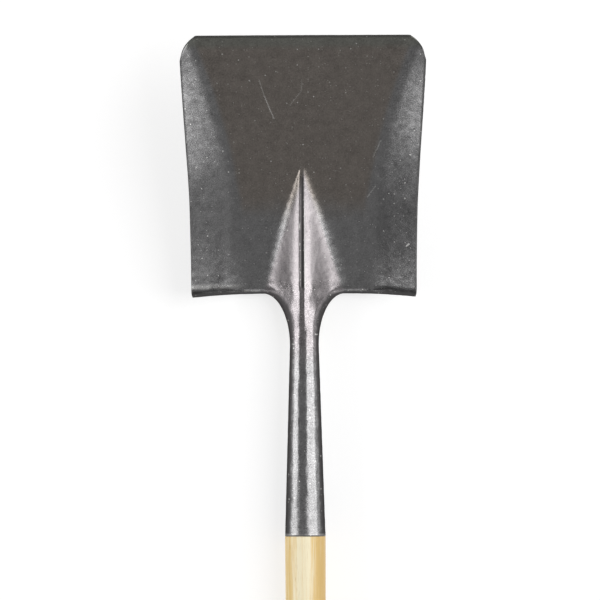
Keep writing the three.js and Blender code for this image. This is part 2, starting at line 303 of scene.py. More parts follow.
def skirt_point(station, share, side):
    """Below the bend the edge goes straight down at the shoulder and curls round the handle at the socket."""
    radius = socket_radius(station[1])
    closed = acos(clamp(SEAM_GAP / 2 / radius))
    blend = smooth(-station[1], 0, SEAM_START)
    curl = lerp(STEP_CURL, closed, blend)
    length = lerp(STEP_SKIRT, radius * closed, blend)
    inward = length * (1 - cos(curl * share)) / curl
    top = point_near_edge(station, 0, side)
    shift = Vector((side * station[2] * inward, station[3] * inward, -length * sin(curl * share) / curl))
    return top + shift


print("height of the crest at the shoulder line", round(crest_height(0), 4))

# %% [markdown]
# ## The sheet itself
# Three grids make each half: the panel with half the ridge, the neck with the top of the socket, and the
# turned edge. An operator makes each grid flat, its corners are moved to their places, and merging the
# doubles sews the six grids into one skin. Columns crowd towards the crest, where the pinched strip is.

# %% Grid helper
RIDGE_COLUMNS = 34
ROW_COUNT = 138
BEND_COLUMNS = 6
SKIRT_COLUMNS = 14
EDGE_BAND = 0.6 * STEP_RADIUS
COLUMN_EVENNESS = 0.3  # 0 crowds the columns most towards the crest
ROW_CROWDING = 0.12  # towards the shoulders and the lip


def add_patch(bm, columns, rows, place):
    made = bmesh.ops.create_grid(bm, x_segments=columns, y_segments=rows, size=1)["verts"]
    for vert in made:
        column = round((vert.co.x + 1) / 2 * columns)
        row = round((vert.co.y + 1) / 2 * rows)
        vert.co = place(column, row)


def ridge_share(column):
    even = column / RIDGE_COLUMNS
    return lerp(even**2, even, COLUMN_EVENNESS)


def row_share(row):
    even = row / ROW_COUNT
    return even - ROW_CROWDING * sin(2 * pi * even) / (2 * pi)


# %% Places of the three patches
def panel_point(column, row, side):
    share = max(column - RIDGE_COLUMNS, 0) / WING_COLUMNS
    lip_x = lerp(SHOULDER_START, blade_edge(BLADE_LENGTH), share)
    low = shoulder_line(lerp(SHOULDER_START, blade_edge(0), share)) + EDGE_BAND
    y = lerp(low, lip_line(lip_x), row_share(row))
    if column < RIDGE_COLUMNS:
        return face_point(side * ridge_share(column) * SHOULDER_START, y)
    if row == 0:
        return point_near_edge(stations[WING_COLUMNS + RIDGE_COLUMNS - column], EDGE_BAND, side)
    return face_point(side * lerp(SHOULDER_START, blade_edge(y), share), y)


def neck_point(column, row, side):
    end = point_near_edge(stations[WING_COLUMNS + row], EDGE_BAND, side)
    if column == RIDGE_COLUMNS:
        return end
    return face_point(ridge_share(column) * end.x, end.y)


def turned_edge_point(column, row, side):
    station = stations[row]
    if column > BEND_COLUMNS:
        return skirt_point(station, (column - BEND_COLUMNS) / SKIRT_COLUMNS, side)
    if column == 0:
        return point_near_edge(station, EDGE_BAND, side)
    if column == BEND_COLUMNS:
        return point_near_edge(station, 0, side)
    radius = bend_radius(station[1])
    first = asin(clamp(1 - EDGE_BAND / radius, -1, 1))
    distance = radius * (1 - sin(lerp(first, pi / 2, column / BEND_COLUMNS)))
    return point_near_edge(station, distance, side)


# %% Sew the skin
WELD = 2e-6


def sheet_skin():
    bm = bmesh.new()
    for side in (1, -1):
        add_patch(bm, RIDGE_COLUMNS + WING_COLUMNS, ROW_COUNT, lambda c, r: panel_point(c, r, side))
        add_patch(bm, RIDGE_COLUMNS, FILLET_ROWS + SOCKET_ROWS, lambda c, r: neck_point(c, r, side))
        add_patch(bm, BEND_COLUMNS + SKIRT_COLUMNS, len(stations) - 1,
                  lambda c, r: turned_edge_point(c, r, side))
    bmesh.ops.remove_doubles(bm, verts=bm.verts, dist=WELD)
    bmesh.ops.recalc_face_normals(bm, faces=bm.faces)
    top = max(bm.faces, key=lambda face: face.calc_center_median().y)
    if top.normal.z < 0:
        bmesh.ops.reverse_faces(bm, faces=bm.faces)
    bm.normal_update()
    return bm


skin = sheet_skin()
print("skin of", len(skin.faces), "faces,", sum(edge.is_boundary for edge in skin.edges), "free edges")

# %% [markdown]
# Pressed and rolled steel is never perfectly even. Hammer-like waves lie along the rolled socket, the
# pinched strip is sunk into the crest, the lip is worn to a slope, and the socket's mouth is cut a little
# unevenly. Each of these moves the skin's points by a fraction of a millimetre, along the surface normal
# where it dents, and along the handle where it is cut.

# %% Dents, the pinch and worn edges
WAVE_DEPTH = 0.00013
WAVE_SIZE = 0.009
LIP_WEAR_WIDTH = 0.003
LIP_WEAR_DEPTH = 0.0004
MOUTH_WAVE = 0.0006
MOUTH_REACH = 0.02  # how far from the mouth its unevenness begins
FINE_DEPTH, FINE_SIZE = 0.00008, 0.004
BROAD_DEPTH, BROAD_SIZE = 0.0003, 0.045
ROLLED_END = (-0.01, 0.05)  # where the rolled socket gives way to the pressed panel
SINK_START = (0.002, 0.008)
SINK_END_SHARE = 0.7  # of the ridge's length, where the pinch begins to run out
SINK_LEFT = (-0.0006, 0.0003)  # slope of its left edge, from the strip's own edge
SINK_RIGHT = (-0.0002, 0.0003)  # and of its right edge, from the middle
SINK_WAVER = 0.0007
SINK_WAVER_SIZE = 0.004


def wave(x, y, z, size):
    return noise.noise(Vector((x, y, z)) / size)


def strip_sink(x, y):
    """How far the pinched strip is sunk: all at once at its right edge, raggedly at its left edge."""
    if not SINK_START[0] < y < RIDGE_LENGTH:
        return 0.0
    ragged = CREST_STRIP + SINK_WAVER * wave(0, y, 0, SINK_WAVER_SIZE)
    left = smooth(x, *(place - ragged for place in SINK_LEFT))
    right = 1 - smooth(x, *SINK_RIGHT)
    ends = smooth(y, *SINK_START) * (1 - smooth(y, SINK_END_SHARE * RIDGE_LENGTH, RIDGE_LENGTH))
    return STRIP_DEPTH * left * right * ends


def dent(point):
    x, y, z = point
    rolled = 1 - smooth(y, *ROLLED_END)
    depth = WAVE_DEPTH * rolled * wave(2 * x, y, 2 * z, WAVE_SIZE)
    depth += FINE_DEPTH * wave(x, y, z, FINE_SIZE) + BROAD_DEPTH * wave(x, y, z, BROAD_SIZE) * (1 - rolled)
    depth -= strip_sink(x, y)
    worn = clamp((y - lip_line(abs(x)) + LIP_WEAR_WIDTH) / LIP_WEAR_WIDTH)
    return depth - LIP_WEAR_DEPTH * worn**2


def press(bm):
    moves = [vert.normal * dent(vert.co) for vert in bm.verts]
    for vert, move in zip(bm.verts, moves):
        near_mouth = smooth(-vert.co.y, SOCKET_LENGTH - MOUTH_REACH, SOCKET_LENGTH)
        move.y += MOUTH_WAVE * near_mouth * wave(vert.co.x, 0, vert.co.z, WAVE_SIZE)
        vert.co += move
    bmesh.ops.transform(bm, matrix=TO_FRAME, verts=bm.verts)


press(skin)
print("lip at", round(max(vert.co.y for vert in skin.verts), 4), "m in the frame")

# %% [markdown]
# ## From skin to steel
# The skin becomes a sheet with a Solidify modifier that grows inwards by the sheet's thickness, and a
# Bevel breaks its sheared edges. The rivet's hole is cut with a Boolean. Its cutter is turned with spin,
# from the same profile as the rivet, so that the rivet's head sits flush in its countersink.

# %% Helpers for finished pieces
def mesh_of(bm, name):
    mesh = bpy.data.meshes.new(name)
    bm.to_mesh(mesh)
    bm.free()
    return mesh


def placed(bm, matrix, name):
    bmesh.ops.transform(bm, matrix=matrix, verts=bm.verts)
    return mesh_of(bm, name)


def add_object(name, mesh):
    piece = bpy.data.objects.new(name, mesh)
    bpy.context.scene.collection.objects.link(piece)
    return piece


def settle(piece):
    """Turns the piece's modifiers into plain mesh."""
    bpy.context.view_layer.update()
    evaluated = piece.evaluated_get(bpy.context.evaluated_depsgraph_get())
    mesh = bpy.data.meshes.new_from_object(evaluated)
    piece.modifiers.clear()
    piece.data = mesh
    return piece


def shade(piece, angle):
    piece.data.shade_smooth()
    piece.data.set_sharp_from_angle(angle=angle)


def turned(profile, steps):
    """A shape turned about the handle's own z axis at the origin from points (radius, height)."""
    bm = bmesh.new()
    corners = [bm.verts.new((radius, 0, height)) for radius, height in profile]
    edges = [bm.edges.new(pair) for pair in zip(corners, corners[1:])]
    bmesh.ops.spin(bm, geom=corners + edges, cent=(0, 0, 0), axis=(0, 0, 1), angle=2 * pi,
                   steps=steps, use_merge=True)
    bmesh.ops.remove_doubles(bm, verts=bm.verts, dist=WELD)
    bmesh.ops.recalc_face_normals(bm, faces=bm.faces)
    return bm


# %% Rivet profile and hole
RIVET_FROM_MOUTH = 0.039
SHANK_RADIUS = 0.0032
HEAD_RADIUS = 0.0047
TAIL_RADIUS = 0.005
TAIL_HEIGHT = 0.0015
SINK_DEPTH = 0.65 * SHEET
WASHER_RADIUS = 0.0075
WASHER_THICKNESS = 0.0013
CLEARANCE = 0.0003
HOLE_FIT = 0.00002
RIVET_STEPS = 48

rivet_y = RIVET_FROM_MOUTH - SOCKET_LENGTH
rivet_top = socket_radius(rivet_y)
washer_top = -(rivet_top + CLEARANCE)
rivet_to_frame = TO_FRAME @ Matrix.Translation((0, rivet_y, 0))
head_rim = rivet_top - HEAD_RADIUS**2 / (2 * rivet_top)


def rivet_hole():
    low = washer_top - 2 * WASHER_THICKNESS
    shank, head = SHANK_RADIUS + HOLE_FIT, HEAD_RADIUS + HOLE_FIT
    high = rivet_top + SHEET
    bm = turned([(0, low), (shank, low), (shank, head_rim - SINK_DEPTH), (head, head_rim),
                 (head, high), (0, high)], RIVET_STEPS)
    return add_object("rivet_hole_cutter", placed(bm, rivet_to_frame, "rivet_hole_cutter"))


# %% Blade and socket
EDGE_BREAK = 0.00035
EDGE_SEGMENTS = 2
SHEARED_EDGE = radians(62)  # edges sharper than this are broken
BLADE_CREASE = radians(45)

blade = add_object("pressed_blade_sheet", mesh_of(skin, "pressed_blade_sheet"))
wall = blade.modifiers.new("wall", "SOLIDIFY")
wall.thickness = SHEET
wall.offset = -1
rounding = blade.modifiers.new("broken edges", "BEVEL")
rounding.width = EDGE_BREAK
rounding.segments = EDGE_SEGMENTS
rounding.limit_method = "ANGLE"
rounding.angle_limit = SHEARED_EDGE
cutter = rivet_hole()
drill = blade.modifiers.new("rivet hole", "BOOLEAN")
drill.operation = "DIFFERENCE"
drill.solver = "MANIFOLD"
drill.object = cutter
settle(blade)
bpy.data.objects.remove(cutter)
shade(blade, BLADE_CREASE)
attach(blade, "root")
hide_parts("blade_and_socket")
blade.data.calc_loop_triangles()
print("blade sheet:", len(blade.data.loop_triangles), "triangles")

# %% [markdown]
# ## The ash handle
# The handle is turned on a lathe: a straight taper, a rounded butt, and inside the socket a chuck that
# fills the steel and ends in a blunt nose under the ridge. A full spin of the profile makes it, bevels
# round its two ends, and cuts across its length let the long sides waver a little, as wood does.

# %% Turn the handle
BUTT_RADIUS = 0.017
BUTT_ROUNDING = 0.008
NOSE_SHARE = 0.63
NOSE_ROUNDING = 0.003
HANDLE_STEPS = 96
LATHE_CUTS = 60
ROUNDING_STEPS = 8
HANDLE_CREASE = radians(40)
SWELL = 0.00012
SWELL_SIZE = 0.008
SWELL_STRETCH = 12  # how much longer the swells are along the handle


def bore(y):
    return socket_radius(y) - SHEET - CLEARANCE


def handle_profile():
    nose = min(NOSE_SHARE * (crest_height(HANDLE_REACH) - SHEET), bore(-NECK_LENGTH))
    mouth = -SOCKET_LENGTH - CLEARANCE
    points = [(0, BUTT), (BUTT_RADIUS, BUTT)]
    for step in range(1, LATHE_CUTS):
        share = step / LATHE_CUTS
        points.append((lerp(BUTT_RADIUS, MOUTH_RADIUS, share), lerp(BUTT, mouth, share)))
    points += [(MOUTH_RADIUS, mouth), (bore(-SOCKET_LENGTH), mouth), (bore(-NECK_LENGTH), -NECK_LENGTH)]
    points += [(nose, HANDLE_REACH), (0, HANDLE_REACH)]
    return points


def ring_at(bm, radius, height):
    near = 0.00001
    return [
        edge for edge in bm.edges
        if all(abs(v.co.z - height) < near and abs(hypot(v.co.x, v.co.y) - radius) < near for v in edge.verts)
    ]


def handle_mesh():
    profile = handle_profile()
    bm = turned(profile, HANDLE_STEPS)
    for (radius, height), size in ((profile[1], BUTT_ROUNDING), (profile[-2], NOSE_ROUNDING)):
        bmesh.ops.bevel(bm, geom=ring_at(bm, radius, height), offset=size, segments=ROUNDING_STEPS,
                        profile=0.5, affect="EDGES", material=-1)
    for vert in bm.verts:
        x, y, z = vert.co
        vert.co += vert.normal * SWELL * wave(x, y, z / SWELL_STRETCH, SWELL_SIZE)
    bmesh.ops.rotate(bm, cent=(0, 0, 0), matrix=Matrix.Rotation(-pi / 2, 3, "X"), verts=bm.verts)
    return placed(bm, TO_FRAME, "ash_handle")


handle = add_object("ash_handle", handle_mesh())
shade(handle, HANDLE_CREASE)
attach(handle, "root")
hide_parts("handle")
print("handle:", len(handle.data.polygons), "faces")

# %% [markdown]
# ## Rivet and washer
# The rivet goes in from the front, where its head is ground flush, and its tail is hammered into a low dome
# over a washer at the back, across the open seam. Both are small lathe shapes again. The tail gets a few
# flat marks from the hammer.

# %% Turn the rivet and the washer
DOME_STEPS = 10
HAMMER_DEPTH = 0.0002
HAMMER_SIZE = 0.0016
RIM_ANGLE = radians(60)
RIM_BREAK = WASHER_THICKNESS / 6
SMALL_CREASE = radians(35)


def rivet_mesh():
    tail = washer_top - WASHER_THICKNESS - CLEARANCE
    points = []
    for step in range(DOME_STEPS + 1):
        turn = (pi / 2) * step / DOME_STEPS
        points.append((TAIL_RADIUS * sin(turn), tail - TAIL_HEIGHT * cos(turn)))
    points += [(SHANK_RADIUS, tail), (SHANK_RADIUS, head_rim - SINK_DEPTH), (HEAD_RADIUS, head_rim)]
    for step in range(1, DOME_STEPS + 1):
        out = HEAD_RADIUS * (1 - step / DOME_STEPS)
        points.append((out, rivet_top - out**2 / (2 * rivet_top)))
    bm = turned(points, RIVET_STEPS)
    for vert in bm.verts:
        if vert.co.z < tail - CLEARANCE:
            vert.co += vert.normal * HAMMER_DEPTH * wave(*vert.co, HAMMER_SIZE)
        if vert.co.z > head_rim - CLEARANCE:
            x, y = vert.co.x, vert.co.y + rivet_y
            vert.co.z = sqrt(socket_radius(y) ** 2 - x**2)
            vert.co.z += dent(Vector((x, y, vert.co.z)))
    return placed(bm, rivet_to_frame, "rivet")


def washer_mesh():
    hole = SHANK_RADIUS + CLEARANCE
    under = washer_top - WASHER_THICKNESS
    bm = turned([(hole, under), (WASHER_RADIUS, under), (WASHER_RADIUS, washer_top), (hole, washer_top),
                 (hole, under)], RIVET_STEPS)
    rims = [edge for edge in bm.edges if edge.is_manifold and edge.calc_face_angle() > RIM_ANGLE]
    bmesh.ops.bevel(bm, geom=rims, offset=RIM_BREAK, segments=EDGE_SEGMENTS, profile=0.5,
                    affect="EDGES", material=-1)
    return placed(bm, rivet_to_frame, "washer")


rivet = add_object("flush_rivet", rivet_mesh())
washer = add_object("back_washer", washer_mesh())
for piece, node, slot in ((rivet, "socket_rivet", "rivet_steel"), (washer, "rivet_washer", "washer_steel")):
    shade(piece, SMALL_CREASE)
    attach(piece, "root")
    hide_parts(node)
    print(piece.name, len(piece.data.polygons), "faces")

# %% [markdown]
# ## Writing finishes as sums
# A finish is a tree of nodes, and long chains of Math nodes are hard to read. A small class wraps a socket,
# so that ordinary sums in Python add the Math nodes: `1 - mask * 0.5` builds two of them. Any other node
# comes from one method, which sets its options first and then its sockets.

# %% Finish and Wire
class Wire:
    """The output of a node, which Python's operators turn into Math nodes."""

    def __init__(self, finish, socket):
        self.finish = finish
        self.socket = socket

    def math(self, operation, *values):
        return self.finish.node("ShaderNodeMath", {"operation": operation}, dict(enumerate(values)))

    def __add__(self, other):
        return self.math("ADD", self, other)

    def __sub__(self, other):
        return self.math("SUBTRACT", self, other)

    def __rsub__(self, other):
        return self.math("SUBTRACT", other, self)

    def __mul__(self, other):
        return self.math("MULTIPLY", self, other)

    def __truediv__(self, other):
        return self.math("DIVIDE", self, other)

    def __pow__(self, other):
        return self.math("POWER", self, other)

    def __abs__(self):
        return self.math("ABSOLUTE", self)

    __radd__ = __add__
    __rmul__ = __mul__

    def either(self, other):
        return self.math("MAXIMUM", self, other)

    def both(self, other):
        return self.math("MINIMUM", self, other)

    def root(self):
        return self.math("SQRT", self)

    def step(self, low, high):
        """0 below low and 1 above high, with a smooth change between them; low may be the larger one."""
        settings = {"interpolation_type": "SMOOTHSTEP"}
        values = {"Value": self, "From Min": low, "From Max": high}
        return self.finish.node("ShaderNodeMapRange", settings, values)

    def between(self, rise, fall):
        """1 between two steps, each given by its two places."""
        return self.step(*rise) * self.step(*fall)


class Finish:
    """One material: its shader takes plain values by name, and node() adds what changes over the surface."""

    def __init__(self, name, **values):
        self.material = bpy.data.materials.new(name)
        self.material.use_nodes = True
        self.tree = self.material.node_tree
        self.shader = self.tree.nodes["Principled BSDF"]
        for socket, value in values.items():
            self.set(self.shader.inputs[socket.replace("_", " ")], value)

    def set(self, socket, value):
        if isinstance(value, Wire):
            self.tree.links.new(value.socket, socket)
        elif isinstance(value, tuple) and len(value) == 3 and socket.type == "RGBA":
            socket.default_value = (*value, 1)
        else:
            socket.default_value = value

    def node(self, kind, settings=None, values=None, output=0):
        node = self.tree.nodes.new(kind)
        for name, setting in (settings or {}).items():
            setattr(node, name, setting)
        for key, value in (values or {}).items():
            self.set(node.inputs[key], value)
        return Wire(self, node.outputs[output])

    def mix(self, first, second, factor, blend="MIX"):
        """Mixes two colours; sockets 6 and 7 of the Mix node are its colours, and output 2 is its colour."""
        settings = {"data_type": "RGBA", "blend_type": blend}
        return self.node("ShaderNodeMix", settings, {0: factor, 6: first, 7: second}, output=2)

    def noise(self, place, size, detail, roughness=0.5):
        values = {"Vector": place, "Scale": 1 / size, "Detail": detail, "Roughness": roughness}
        return self.node("ShaderNodeTexNoise", None, values)

    def parts(self, place):
        return [self.node("ShaderNodeSeparateXYZ", None, {0: place}, output) for output in range(3)]

    def drive(self, **wires):
        for socket, wire in wires.items():
            self.set(self.shader.inputs[socket.replace("_", " ")], wire)

    def bump(self, height, distance, strength):
        values = {"Height": height, "Distance": distance, "Strength": strength}
        return self.node("ShaderNodeBump", None, values)

    def wear(self, *pieces):
        for piece in pieces:
            piece.data.materials.clear()
            piece.data.materials.append(self.material)


print("finishes are ready to write")

# %% [markdown]
# Patterns are placed in the shovel's own directions. Object coordinates are the frame's metres, because
# every piece sits at the origin, and one Mapping node turns them so that x is across the blade, y runs from
# the shoulder line to the lip and z is the height above the handle's axis.

# %% Shovel coordinates in a finish
def shovel_place(finish):
    turn = FROM_FRAME.to_euler()
    place = finish.node("ShaderNodeTexCoord", output="Object")
    values = {"Vector": place, "Location": FROM_FRAME.translation, "Rotation": turn}
    return finish.node("ShaderNodeMapping", {"vector_type": "POINT"}, values)


def stretched(finish, place, scale):
    return finish.node("ShaderNodeMapping", {"vector_type": "POINT"}, {"Vector": place, "Scale": scale})


# %% [markdown]
# ## Blade steel
# The blade is rolled steel with its dark mill skin still on, under a thin clear lacquer. It is brown in
# the middle and grey towards the shoulders, with a green-grey band at the lip. The neck and the ridge are
# painted lighter and faintly lilac, the tint of their highlights. Painted shade makes it near-black on steep
# sides, along the turned shoulders, at the mouth's gap and in the pinched strip, and it is darker along the
# lip. Painted highlights lie on the pinch's rims, the left one also chipped, on the mouth's rim and over the
# left shoulder, and it is peppered with pale specks and a few scratches. All of it is noise and masks in the
# shovel's own metres, so it holds in any view.

# %% Scratches and specks
PIXEL = 0.000973  # metres that one pixel of the photograph spans
MIDDLE_PIXEL = 303.4
SHOULDER_PIXEL = 294.5
SCRATCHES = (  # from and to pixel, half width in pixels, strength
    (259.5, 80, 264.5, 96, 0.4, 0.35), (264.5, 96, 274.5, 119.5, 0.45, 0.6), (302, 80, 302, 91, 0.4, 0.25),
    (302, 91, 290, 106, 0.4, 0.3), (367, 198, 376, 186, 0.4, 0.35), (373, 158, 381, 141, 0.4, 0.35),
    (405.5, 247.5, 408.5, 244.5, 0.6, 0.8), (314, 335, 320, 335, 0.5, 0.7), (291, 345, 294, 345, 0.5, 0.5),
)
SCRATCH_WAVER = 0.004  # metres, between the grain's two extremes
SCRATCH_FADE_SHARES = (1.6, 0.4)  # of its half width
SPECK_CORE_SHARE = 0.35  # of its radius, where a speck is at full strength
PICK_BLUR = 0.01
FAINTEST_SPECK = 0.3


def from_pixel(column, row):
    return (column - MIDDLE_PIXEL) * PIXEL, (SHOULDER_PIXEL - row) * PIXEL


def scratch_mask(x, y, ragged, scratch):
    start_x, start_y = from_pixel(*scratch[:2])
    end_x, end_y = from_pixel(*scratch[2:4])
    half_width, strength = scratch[4] * PIXEL, scratch[5]
    length = hypot(end_x - start_x, end_y - start_y)
    way_x, way_y = (end_x - start_x) / length, (end_y - start_y) / length
    run = (x - start_x) * way_x + (y - start_y) * way_y
    off = (y - start_y) * way_x - (x - start_x) * way_y
    line = abs(off + ragged * SCRATCH_WAVER).step(*(share * half_width for share in SCRATCH_FADE_SHARES))
    ends = run.between((-half_width, half_width), (length + half_width, length - half_width))
    return line * ends * (ragged * 2 + 1) * strength


def speck_mask(finish, place, size, density, radius):
    """Small dots of unlike strength, each in its own cell, in the few cells that a random value picks."""
    settings = {"voronoi_dimensions": "2D"}
    values = {"Vector": place, "Scale": 1 / size, "Randomness": 1.0}
    distance = finish.node("ShaderNodeTexVoronoi", settings, values, output="Distance")
    chance = finish.parts(finish.node("ShaderNodeTexVoronoi", settings, values, output="Color"))
    pick = chance[0].step(1 - density, 1 - density + PICK_BLUR)
    strength = FAINTEST_SPECK + (1 - FAINTEST_SPECK) * chance[1] ** 2
    return distance.step(radius / size, SPECK_CORE_SHARE * radius / size) * pick * strength


# %% [markdown]
# The steel changes along the blade and across it. Each mask below fades between two places, in metres:
# ALONG is measured from the shoulder line towards the lip, and ASIDE from the middle, unless a comment
# says otherwise.

# %% Base colour of the steel
BROWN_STEEL = (0.240, 0.215, 0.195)
GREY_STEEL = (0.245, 0.243, 0.245)
# The next two colours are partly painted highlight: the neck and the ridge are lighter and lilac, the tint of
# their highlights.
NECK_STEEL = (0.260, 0.242, 0.248)
LILAC_HIGHLIGHT_STEEL = (0.345, 0.321, 0.328)
GREEN_STEEL = (0.222, 0.226, 0.205)
# colour of the painted shade, and of the pits
SHADE_AND_PIT_DARK = (0.060, 0.058, 0.058)
# colour of pale specks and scratches, and of the painted highlights
PALE_SPECK_AND_GLINT = (0.78, 0.77, 0.75)

BROWN_ALONG = (0.045, 0.12)
BROWN_ASIDE = (0.002, -0.010)  # from the bend line
BROWN_WEIGHT, PATCH_WEIGHT = 1.2, 0.8
BROWN_RANGE = (0.2, 1.0)
RIDGE_ASIDE = (0.042, 0.036)  # at the shoulder line
RIDGE_TAPER = 0.335  # metres that the ridge narrows in each metre towards the lip
NECK_ALONG = (-0.075, -0.045)
LILAC_ALONG = (-0.012, 0.018)
GREEN_ALONG = (BLADE_LENGTH - 0.014, BLADE_LENGTH - 0.007)
GREEN_WAVER = 0.006
GREEN_STRENGTH = 0.85
LIVELY_ASIDE = (0.07, 0.095)
LIVELY_ALONG = (0.02, -0.02)
LIVELY, LIVELIER = 1.7, 0.9
MOTTLE_LEVEL, GRAIN_LEVEL = 0.35, 0.75


def ridge_mask(x, y):
    """1 on the ridge and the neck, 0 on the panel and the socket."""
    return (abs(x) + y.either(0.0) * RIDGE_TAPER).step(*RIDGE_ASIDE) * y.step(*NECK_ALONG)


def steel_colour(finish, x, y, patches, mottle, grain):
    run = BLADE_LENGTH - BEND_END_INSET - BEND_STRAIGHT
    spread = BLADE_WIDTH / 2 - BEND_CORNER_INSET - bend_line(0)
    bend = bend_line(0) + spread * ((y - BEND_STRAIGHT) / run).either(0.0) ** BEND_EASE
    inside = (abs(x) - bend).step(*BROWN_ASIDE)
    brown = y.step(*BROWN_ALONG) * inside * BROWN_WEIGHT + (patches - 0.5) * PATCH_WEIGHT
    colour = finish.mix(GREY_STEEL, BROWN_STEEL, brown.step(*BROWN_RANGE) * inside)
    # painted highlight tint on the neck and the ridge
    pressed = finish.mix(NECK_STEEL, LILAC_HIGHLIGHT_STEEL, y.step(*LILAC_ALONG))
    colour = finish.mix(colour, pressed, ridge_mask(x, y))
    lip = (y + (mottle - 0.5) * GREEN_WAVER).step(*GREEN_ALONG)
    colour = finish.mix(colour, GREEN_STEEL, lip * GREEN_STRENGTH)
    lively = LIVELY + LIVELIER * abs(x).step(*LIVELY_ASIDE).either(y.step(*LIVELY_ALONG))
    level = 1 + ((mottle - 0.5) * MOTTLE_LEVEL + (grain - 0.5) * GRAIN_LEVEL) * lively
    shade_of_grey = finish.node("ShaderNodeCombineColor", None, {0: level, 1: level, 2: level})
    return finish.mix(colour, shade_of_grey, 1.0, "MULTIPLY")


# %% Painted shade, and a dark line along the lip
MOTTLE_SHIFT, GRAIN_SHIFT = 0.007, 0.004  # metres, between their two extremes
RIM_ALONG = (BLADE_LENGTH - 0.0026, BLADE_LENGTH - 0.0008)
RIM_SHIFT, RIM_STRENGTH = 0.7, 0.7
# Painted shade: steeply sloping faces, on the socket's sides and the fillets' flares, darken by how far their
# normal leans from straight up.
SIDE_TILT = (0.74, 0.56)
SIDE_SHIFT, STEEP_SHADE_STRENGTH = 0.25, 0.85
# Painted shade: a ragged dark band along the turned shoulders.
SHOULDER_ALONG = (0.0044, 0.0016)
SHOULDER_ASIDE = (0.030, 0.042)
SHOULDER_SHADE_STRENGTH = 0.85
# Painted shadow: a dark line on the steel at the gap between the socket's mouth and the handle.
MOUTH_SHADOW_ALONG = (0.0016 - SOCKET_LENGTH, 0.0009 - SOCKET_LENGTH)
MOUTH_SHIFT = 0.25
# Painted shade: the sunken pinched strip is darkened, most in its core and towards the shoulder line.
PINCH_LEFT = (-0.0003, 0.0003)  # from the strip's left edge
PINCH_RIGHT = (0.0002, -0.0002)
PINCH_ALONG = ((0.003, 0.008), (0.117, 0.112))
PINCH_SHIFT = 0.25
CORE_ASIDE = (-0.0024, -0.0014)
CORE_SHIFT = 0.1
DEEP_ALONG = (0.085, 0.03)
PINCH_SHADE_STRENGTH, DEEP_SHADE_STRENGTH, CORE_SHADE_STRENGTH = 0.45, 0.3, 0.45


def ragged_shift(mottle, grain):
    return (mottle - 0.5) * MOTTLE_SHIFT + (grain - 0.5) * GRAIN_SHIFT


def upright(finish):
    """The upright part of the surface normal, 1 on a face that looks straight up."""
    return finish.parts(finish.node("ShaderNodeTexCoord", output="Normal"))[2]


def painted_shade_and_lip_line(finish, x, y, mottle, grain):
    """Painted shade on steep faces, along the turned shoulders, at the mouth's gap and in the pinched strip,
    and a dark line along the lip.
    """
    ragged = ragged_shift(mottle, grain)
    rim = (y + ragged * RIM_SHIFT).step(*RIM_ALONG) * RIM_STRENGTH
    # painted shade on steep faces
    tilt = abs(upright(finish)) + (mottle - 0.5) * SIDE_SHIFT
    steep_side_shade = tilt.step(*SIDE_TILT) * STEEP_SHADE_STRENGTH
    # painted shade along the shoulders
    shoulder = (y + ragged).step(*SHOULDER_ALONG) * abs(x).step(*SHOULDER_ASIDE) * SHOULDER_SHADE_STRENGTH
    # painted shadow at the mouth's gap
    mouth = (y + ragged * MOUTH_SHIFT).step(*MOUTH_SHADOW_ALONG)
    # painted shade in the pinched strip
    left = (x + CREST_STRIP + ragged * PINCH_SHIFT).step(*PINCH_LEFT)
    strip = left * x.step(*PINCH_RIGHT) * y.between(*PINCH_ALONG)
    core = (x + ragged * CORE_SHIFT).step(*CORE_ASIDE)
    strip = strip * (PINCH_SHADE_STRENGTH + DEEP_SHADE_STRENGTH * y.step(*DEEP_ALONG) + CORE_SHADE_STRENGTH * core)
    return rim.either(steep_side_shade).either(shoulder).either(mouth).either(strip.both(1.0))


# %% Painted highlights, and chipped wear on the pinch's left rim
# Painted highlights: glints along the pinch's sharp right rim and its ragged left rim, which is also chipped
# wear.
SHINE_ALONG = ((0.004, 0.01), (0.1, 0.08))
RIGHT_RIM = ((0.0001, 0.0004), (0.0013, 0.0008))
RIGHT_GLINT_STRENGTH = 0.6
LEFT_RIM = (0.0008, 0.0003)  # from its middle, which lies beside the strip's left edge
LEFT_BESIDE = 0.0004
LEFT_SHIFT, LEFT_GLINT_STRENGTH = 0.25, 0.9
LEFT_BITS = (0.53, 0.6)  # of the mottle, so that only bits of it show
# Painted highlight: a glint along the rim of the socket's mouth.
MOUTH_GLINT = (0.0030 - SOCKET_LENGTH, 0.0018 - SOCKET_LENGTH)
MOUTH_GLINT_SHIFT, MOUTH_GLINT_STRENGTH = 0.2, 0.2
# Painted highlight: a light band over the left shoulder's bend.
HIGHLIGHT_BAND_ALONG = ((0.0035, 0.006), (0.011, 0.0075))
HIGHLIGHT_BAND_ASIDE = (-0.052, -0.072)
HIGHLIGHT_BAND_STRENGTH = 0.28


def painted_highlights_and_chips(x, y, mottle, grain):
    """Painted highlights on both rims of the pinch, the left one also chipped, on the mouth's rim and as a
    light band over the left shoulder.
    """
    ragged = ragged_shift(mottle, grain)
    # painted glints on the pinch's rims
    right = x.between(*RIGHT_RIM) * RIGHT_GLINT_STRENGTH
    beside = abs(x + CREST_STRIP + LEFT_BESIDE + ragged * LEFT_SHIFT)
    left = beside.step(*LEFT_RIM) * mottle.step(*LEFT_BITS) * LEFT_GLINT_STRENGTH
    # painted glint on the mouth's rim
    mouth = (y + ragged * MOUTH_GLINT_SHIFT).step(*MOUTH_GLINT)
    # painted highlight over the left shoulder
    band = (y + ragged).between(*HIGHLIGHT_BAND_ALONG) * x.step(*HIGHLIGHT_BAND_ASIDE) * HIGHLIGHT_BAND_STRENGTH
    pinch = right.either(left) * y.between(*SHINE_ALONG)
    return pinch.either(mouth * MOUTH_GLINT_STRENGTH).either(band)


